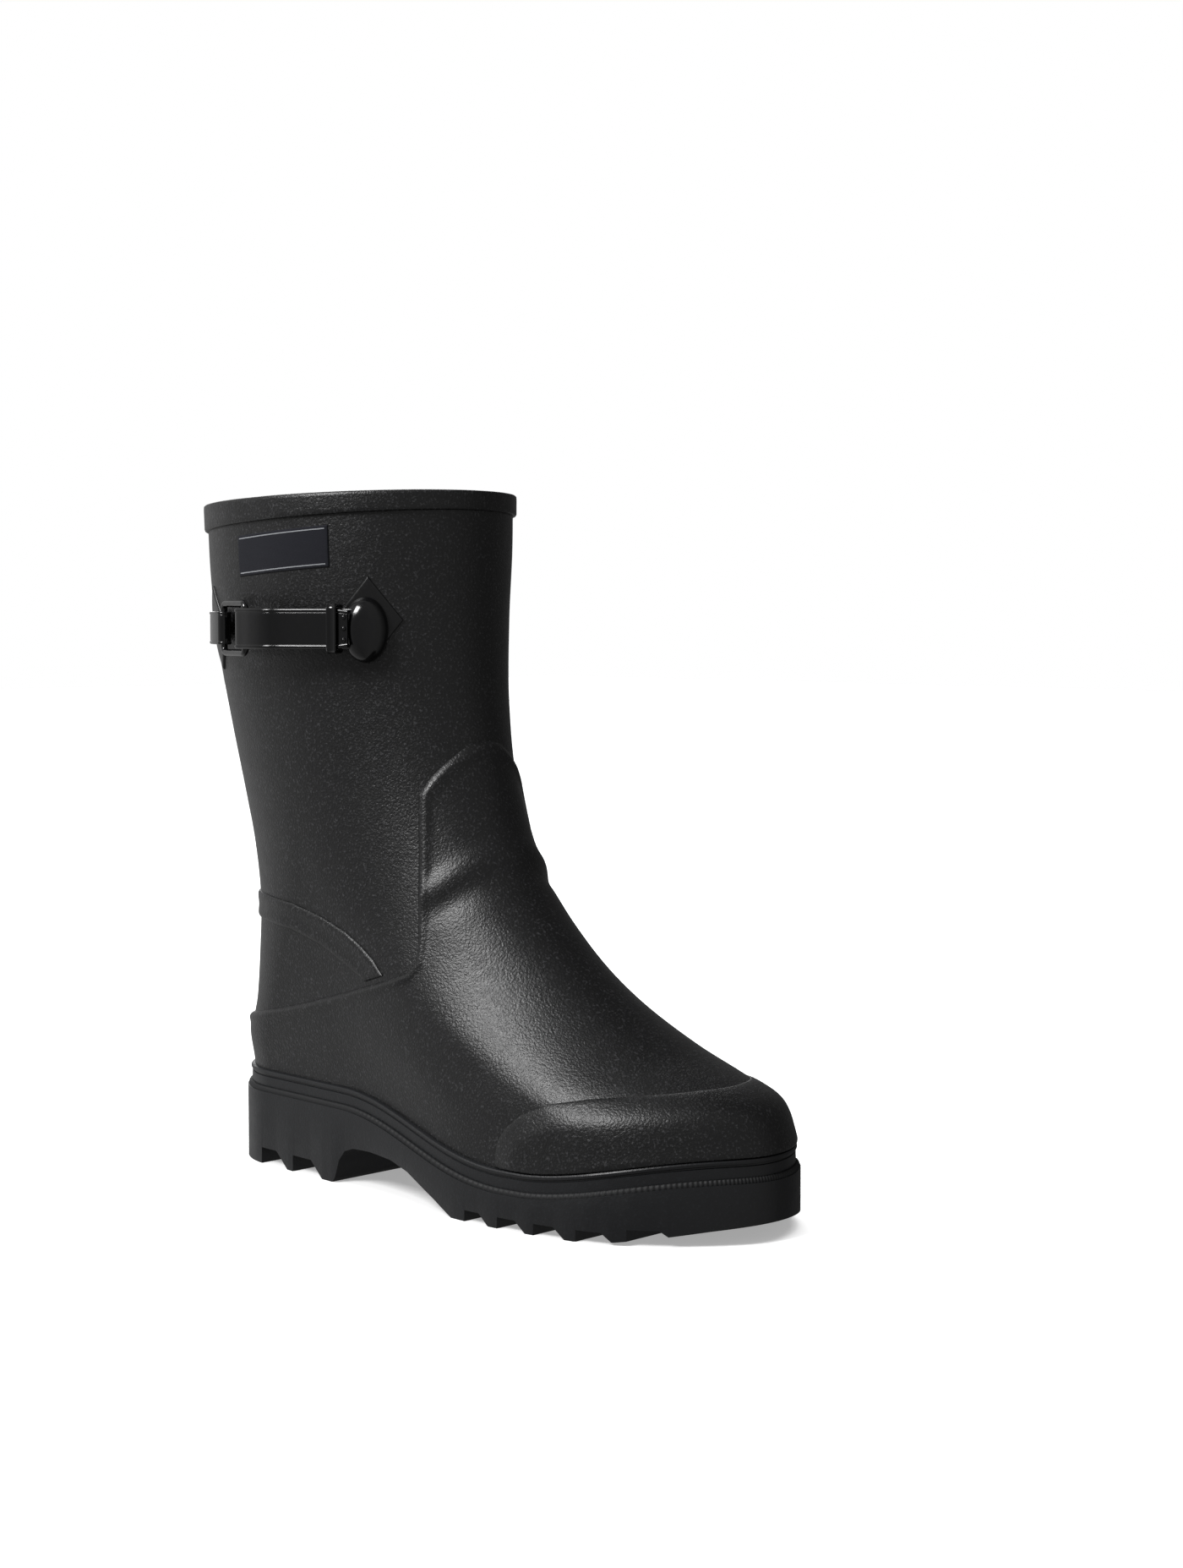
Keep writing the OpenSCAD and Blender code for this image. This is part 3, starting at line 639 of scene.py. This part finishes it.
def side_label():
    """A plain woven label with a thread line along its top and bottom edges."""
    a, b = even_grid(40)
    cloth = plate("label_cloth", a, b, label_point, 0.65, 0.6, (24.5, 8.6))
    finish_piece(cloth, "boot", LABEL, "label_weave", "side_label")
    for name, height in (("label_line_top", 0.84), ("label_line_low", -0.84)):
        a, b = even_grid(30)
        line = plate(name, a, b, lambda a, b: label_point(a * 0.95, height + b * 0.04), 0.78, 0.2, (23, 0.34))
        finish_piece(line, "boot", THREAD, "label_weave")


def diamond(place_xy, angle, lift):
    """Side-view places of a diamond that stands square to the leg at the angle given."""
    half_w, half_h, reach = 14.5, 18, 16.0

    def side_xz(a, b):
        u, w = (a - b) / 2 * half_w, (a + b) / 2 * half_h
        z = STRAP_Z + lift + w
        low, high = np.full(u.shape, -reach), np.full(u.shape, reach)
        for _ in range(24):
            k = (low + high) / 2
            x = place_xy[0] + cos(angle) * u - sin(angle) * k
            y = place_xy[1] + sin(angle) * u + cos(angle) * k
            turn, row = on_side(x, z)
            within = y > leg_point(turn, row)[..., 1]
            low, high = np.where(within, low, k), np.where(within, k, high)
        return x, z
    return side_xz


PATCH_T, PATCH_HALF = 0.98, 11.3
BOSS_PLACE, BOSS_ANGLE = np.array([111.5, -40.5]), radians(42)
REAR_PLACE, REAR_ANGLE = np.array([19.0, -48.0]), radians(-27)


def patches():
    for name, node, where, angle, lift in (("patch_front", "front_patch", BOSS_PLACE, BOSS_ANGLE, 3.5),
                                           ("patch_rear", "rear_patch", REAR_PLACE, REAR_ANGLE, 0)):
        a, b = even_grid(44)
        piece = plate(name, a, b, diamond(where, angle, lift), PATCH_T, 1.0, (PATCH_HALF, PATCH_HALF))
        finish_piece(piece, "boot", PATCH, "upper_rubber", node)


# ---- strap and buckle ----
FRONT_BAR, REAR_BAR = np.array([63, -65.5]), np.array([40, -58.8])
RUN_ANGLE = atan2(10, 20)
RUN_DIR = np.array([cos(RUN_ANGLE), sin(RUN_ANGLE)])
RUN_OUT = np.array([sin(RUN_ANGLE), -cos(RUN_ANGLE)])
RUN_START = np.array([85, -60])
RUN_LEN, FOLD_R, TAIL_GAP = 28.3, 3.6, 3.3
BAR_R = 1.5
KEEPER_AT, KEEPER_LEN, KEEPER_WALL = 20.8, 4.2, 1.4


def along(points, steps):
    return spline(np.array(points, float), np.arange((len(points) - 1) * steps + 1) / steps)


def strap_line():
    lower = [RUN_START + RUN_DIR * RUN_LEN, RUN_START, (78, -62.4), (70, -62.2), FRONT_BAR + (1, FOLD_R)]
    upper = [FRONT_BAR + (1, -FOLD_R), (72, -69.1), (79, -67.6), RUN_START + RUN_OUT * TAIL_GAP,
             RUN_START + RUN_DIR * (RUN_LEN - 1) + RUN_OUT * TAIL_GAP]
    fold = [FRONT_BAR + FOLD_R * np.array([cos(a), sin(a)]) for a in np.radians(np.arange(96, 265, 8))]
    start = [(115.5, -42), (113, -45.2)]
    return np.concatenate([start, along(lower, 10), fold, along(upper, 10)])


def ribbon(name, line, section, middle_z, taper=None, sharp=35):
    """A strap swept along a line in plan; section lists (height, depth) round its cross section."""
    d = np.gradient(line, axis=0)
    side = unit(np.stack([-d[:, 1], d[:, 0]], -1))
    grow = np.ones(len(line)) if taper is None else taper
    loops = []
    for height, depth in section:
        plan = line + side * (depth * grow)[:, None]
        loops.append(np.column_stack([plan, middle_z + height * (0.5 + 0.5 * grow)]))
    return loft(name, np.array(loops), False, sharp)


def banded_section(width, thick, bead, waist):
    """Cross section of a strap with a round bead along each edge, the same on both faces."""
    w, t, r = width / 2, thick / 2, bead / 2
    face = [(w - r + r * cos(a), t * sin(a)) for a in np.radians(np.arange(15, 151, 15))]
    face += [(w - bead - 0.15, t * waist), (w - bead - 1.2, t * waist)]
    top = face + [(-h, d) for h, d in reversed(face)]
    return top + [(-h, -d) for h, d in top]


def strap():
    line = strap_line()
    ends = np.minimum(np.arange(len(line)), np.arange(len(line))[::-1])
    taper = 0.8 + 0.2 * np.clip(ends / 2, 0, 1)
    piece = ribbon("strap_band", line, banded_section(STRAP_W, STRAP_T, 2.0, 0.6), STRAP_Z, taper)
    finish_piece(piece, "boot", STRAP, "strap_gloss", "strap")


STUD_PROFILE = [(0.95, 0), (0.9, 0.35), (0.65, 0.65), (0.25, 0.8)]


def strap_studs():
    """Three small moulded studs near the end of the tail."""
    spot = RUN_START + RUN_DIR * (RUN_LEN - 2.5) + RUN_OUT * (TAIL_GAP + STRAP_T * 0.3)
    for k, height in enumerate((-4.6, 0, 4.6)):
        stud = dome(f"strap_stud_{k + 1}", spot, RUN_ANGLE, height, STUD_PROFILE, 32)
        finish_piece(stud, "boot", STRAP, "strap_gloss")


def dome(name, spot, angle, lift, profile, count=96):
    """A turned button on the leg; profile lists (radius, height) from its rim to its middle."""
    turn = np.arange(count) / count * 2 * pi
    rings = [(profile[0][0] * 0.96, -0.3)] + list(profile) + [(0.02, profile[-1][1])]
    loops = [np.stack([r * np.cos(turn), np.full(count, -h), r * np.sin(turn)], -1) for r, h in rings]
    loops.append(np.stack([0.02 * np.cos(turn), np.full(count, 0.3), 0.02 * np.sin(turn)], -1))
    return loft(name, stand_on_leg(np.array(loops), spot, angle, lift), sharp=40)


def stand_on_leg(loops, spot, angle, lift):
    """Points given along the leg, outward (as negative) and up, moved to a place on the leg."""
    x = spot[0] + cos(angle) * loops[..., 0] - sin(angle) * loops[..., 1]
    y = spot[1] + sin(angle) * loops[..., 0] + cos(angle) * loops[..., 1]
    return np.stack([x, y, STRAP_Z + lift + loops[..., 2]], -1)


def strap_boss():
    """The pad that holds the strap's end: a tall pebble, flat on its left, with a shallow dish in front."""
    wide, rise, tall, left, shift, sunk, count = 9.5, 7.8, 13.5, -7.5, 1, 1.2, 128
    turn = np.arange(count) / count * 2 * pi

    def oval(half_w, half_h, out):
        return np.stack([half_w * np.cos(turn) - shift, np.full(count, -out), half_h * np.sin(turn)], -1)

    loops = [oval(0.97 * wide, 0.97 * tall, -sunk)]
    for tilt in np.radians([0, 8, 16, 24, 32, 40, 48, 56, 64, 72, 79, 85, 89.8]):
        size = cos(tilt)
        dish = 0.5 * ease((0.62 - size) / 0.4)
        loops.append(oval(wide * size, tall * size, rise * sin(tilt) ** 0.9 - dish))
    loops = np.array(loops + [oval(0.03, 0.03, -sunk)])
    loops[..., 0] = np.maximum(loops[..., 0], left)
    piece = loft("boss_pad", stand_on_leg(loops, BOSS_PLACE, BOSS_ANGLE, -0.5), sharp=50)
    finish_piece(piece, "boot", STRAP, "strap_gloss", "strap_boss")


def keeper():
    """The loop that holds the tail down: a rounded band round both runs of the strap."""
    half_d = (TAIL_GAP + STRAP_T) / 2 + STRAP_CLEAR + KEEPER_WALL / 2
    half_h = STRAP_W / 2 + STRAP_CLEAR + KEEPER_WALL / 2
    middle = RUN_START + RUN_DIR * KEEPER_AT + RUN_OUT * TAIL_GAP / 2
    path = rounded_rectangle(half_d, half_h, 1.6, 10)
    section = [(-KEEPER_LEN / 2, 0.3), (-KEEPER_LEN / 2 + 0.5, 0.7), (-1.2, 0.5), (0, 0.45), (1.2, 0.5),
               (KEEPER_LEN / 2 - 0.5, 0.7), (KEEPER_LEN / 2, 0.3), (KEEPER_LEN / 2, -0.5), (0, -0.7),
               (-KEEPER_LEN / 2, -0.5)]
    loops = []
    for slide, thick in section:
        ring = path[:, :2] + path[:, 2:] * thick
        plan = middle + RUN_DIR * slide + RUN_OUT * ring[:, :1]
        loops.append(np.column_stack([plan, STRAP_Z + ring[:, 1]]))
    finish_piece(loft("keeper_loop", np.array(loops)), "keeper", STRAP, "strap_gloss", "strap_keeper")


def rounded_rectangle(half_a, half_b, radius, steps):
    """Points of a rectangle with round corners, each with its outward direction: (a, b, na, nb)."""
    points = []
    for quarter, (sa, sb) in enumerate(((1, 1), (-1, 1), (-1, -1), (1, -1))):
        for k in range(steps + 1):
            angle = (quarter + k / steps) * pi / 2
            na, nb = cos(angle), sin(angle)
            a, b = sa * (half_a - radius) + radius * na, sb * (half_b - radius) + radius * nb
            points.append((a, b, na, nb))
    return np.array(points)


def buckle():
    """The buckle's frame: a square ring of rounded bar."""
    span = np.linalg.norm(FRONT_BAR - REAR_BAR)
    way = (FRONT_BAR - REAR_BAR) / span
    outward = np.array([way[1], -way[0]])
    middle = (FRONT_BAR + REAR_BAR) / 2
    rail = STRAP_W / 2 + STRAP_CLEAR + BAR_R
    path = rounded_rectangle(span / 2, rail, 2.6, 12)
    loops = []
    for a in np.arange(20) / 20 * 2 * pi:
        c, s = cos(a), sin(a)
        bulge = BAR_R / (abs(c) ** 3 + abs(s) ** 3) ** (1 / 3)
        ring = path[:, :2] + path[:, 2:] * min(BAR_R, bulge) * c * 0.97
        plan = middle + way * ring[:, :1] + outward * min(BAR_R, bulge) * s * 0.97
        loops.append(np.column_stack([plan, STRAP_Z + ring[:, 1]]))
    finish_piece(loft("buckle_ring", np.array(loops)), "buckle", BUCKLE, "buckle_gloss", "buckle_frame")


def buckle_tab():
    """The short strap that holds the buckle's rear bar, wrapped round it and bonded to the rear patch."""
    gap, thick, wide, bead, waist = 0.25, 1.4, 14, 1.5, 0.65
    r = BAR_R + gap + thick / 2
    wrap = [REAR_BAR + r * np.array([cos(a), sin(a)]) for a in np.radians(np.arange(200, -120, -12))]
    lead = [REAR_BAR + (-2.6, 1.4), (34, -57.2), (27, -54.2), (20.5, -50.4), (18.6, -49.2)]
    line = np.concatenate([wrap, along(lead, 8)])
    piece = ribbon("tab_band", line, banded_section(wide, thick, bead, waist), STRAP_Z)
    finish_piece(piece, "boot", STRAP, "strap_gloss", "buckle_tab")


def inner_parts():
    """CAD pieces inside the boot keep their shape and get their own materials."""
    finishes = {"heel_core": FOAM, "sole_filler": CORK, "shank": STEEL, "insole_board": BOARD,
                "heel_counter": FELT, "toe_puff": FELT}
    for name, material in finishes.items():
        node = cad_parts[name]
        node.data.materials.clear()
        node.data.materials.append(material)


# ---- stage ----
# Brightness of the studio's walls at parts of a turn: 0 at the heel, then outer side, toe and inner side
WALLS = [(0, 0.55), (0.1, 0.5), (0.2, 0.3), (0.3, 0.22), (0.42, 0.3), (0.55, 0.3), (0.66, 0.08), (0.82, 0.08),
         (0.92, 0.35), (1, 0.55)]


def area_light(name, spot, aim, size, power):
    light = bpy.data.lights.new(name, "AREA")
    light.shape, light.size, light.size_y, light.energy = "RECTANGLE", size[0], size[1], power
    lamp = bpy.data.objects.new(name, light)
    z = unit(np.array(spot, float) - np.array(aim, float))
    x = unit(np.cross((0, 0, 1), z))
    y = np.cross(z, x)
    lamp.matrix_world = Matrix([(x[i], y[i], z[i], spot[i]) for i in range(3)] + [(0, 0, 0, 1)])
    bpy.context.scene.collection.objects.link(lamp)


def stage():
    """A plain pale floor that runs out of sight, a pale world, a soft key box and a weak one behind."""
    floor_size, dark, pale, floor_glow = 12, 0.78, 0.82, 0.35
    bpy.ops.mesh.primitive_plane_add(size=floor_size, location=(0, 0, 0))
    floor = bpy.context.object
    floor.name = "floor"
    material, nodes, links, shader, where = new_material("floor_pale")
    links.new(ramp(nodes, links, noise(nodes, links, where, 3), dark, pale), shader.inputs["Base Color"])
    shader.inputs["Roughness"].default_value = 0.9
    shader.inputs["Specular IOR Level"].default_value = 0.0
    shader.inputs["Emission Color"].default_value = (1, 1, 1, 1)
    shader.inputs["Emission Strength"].default_value = floor_glow
    floor.data.materials.append(material)
    floor.visible_glossy = floor.visible_diffuse = False
    pale_world()
    floor_light(floor)
    middle = (0, 0, 0.14)
    area_light("key", (-0.14, -1.04, 1.14), middle, (0.5, 0.5), 21)
    area_light("back_box", (-1.2, 0.9, 0.8), middle, (0.6, 0.9), 5)


def floor_light(floor):
    """A wide soft sun that only the floor takes, so that it stays white up to the object's soft shadow."""
    light = bpy.data.lights.new("floor_light", "SUN")
    light.energy, light.angle = 3.2, radians(70)
    lamp = bpy.data.objects.new("floor_light", light)
    lamp.rotation_euler = (radians(-14), radians(-10), 0)
    bpy.context.scene.collection.objects.link(lamp)
    takers = bpy.data.collections.new("floor_only")
    takers.objects.link(floor)
    lamp.light_linking.receiver_collection = takers


def pale_world():
    """White to the camera. What the object mirrors is brightest at its heel and dim at its inner side."""
    world = bpy.data.worlds.new("pale_world")
    world.use_nodes = True
    nodes, links = world.node_tree.nodes, world.node_tree.links
    around, turn = nodes.new("ShaderNodeTexCoord"), nodes.new("ShaderNodeTexGradient")
    turn.gradient_type = "RADIAL"
    links.new(around.outputs["Generated"], turn.inputs["Vector"])
    walls = nodes.new("ShaderNodeValToRGB")
    stops = walls.color_ramp.elements
    for position, _ in WALLS[1:-1]:
        stops.new(position)
    for stop, (position, grey) in zip(stops, WALLS):
        stop.position, stop.color = position, (grey, grey, grey, 1)
    links.new(turn.outputs["Fac"], walls.inputs["Fac"])
    glow = nodes["Background"]
    links.new(walls.outputs["Color"], glow.inputs["Color"])
    behind = nodes.new("ShaderNodeBackground")
    behind.inputs["Color"].default_value = (1, 1, 1, 1)
    seen, choose = nodes.new("ShaderNodeLightPath"), nodes.new("ShaderNodeMixShader")
    links.new(seen.outputs["Is Camera Ray"], choose.inputs["Fac"])
    links.new(glow.outputs["Background"], choose.inputs[1])
    links.new(behind.outputs["Background"], choose.inputs[2])
    links.new(choose.outputs["Shader"], nodes["World Output"].inputs["Surface"])
    bpy.context.scene.world = world
    bpy.context.scene.view_settings.view_transform = "Standard"


def camera():
    """The photograph's viewing angle: to the front right of the toe, a little over the boot's middle."""
    azimuth, distance, height = radians(46.33), 1.08496, 0.24032
    pan, pitch, lens = radians(2.02), radians(3.81), 59.75
    aim, film_w, nearest = (136.6, 10, 0), 36, 0.01
    stand = place(aim) + distance * np.array([sin(azimuth), -cos(azimuth), 0])
    stand[2] = height
    ahead = np.array([-sin(azimuth), cos(azimuth), 0])
    right = np.array([cos(azimuth), sin(azimuth), 0])
    ahead, right = cos(pan) * ahead + sin(pan) * right, cos(pan) * right - sin(pan) * ahead
    level = np.array([0, 0, 1.0])
    back = -(cos(pitch) * ahead - sin(pitch) * level)
    up = cos(pitch) * level + sin(pitch) * ahead
    data = bpy.data.cameras.new("camera")
    data.lens, data.sensor_width, data.clip_start = lens, film_w, nearest
    eye = bpy.data.objects.new("camera", data)
    eye.matrix_world = Matrix([(right[i], up[i], back[i], stand[i]) for i in range(3)] + [(0, 0, 0, 1)])
    bpy.context.scene.collection.objects.link(eye)
    bpy.context.scene.camera = eye


stage()
camera()
leg()
lining()
footbed()
galosh()
toe_bumper()
ankle_strip()
top_binding()
foxing()
outsole()
welt()
side_label()
patches()
strap()
strap_studs()
strap_boss()
keeper()
buckle()
buckle_tab()
inner_parts()
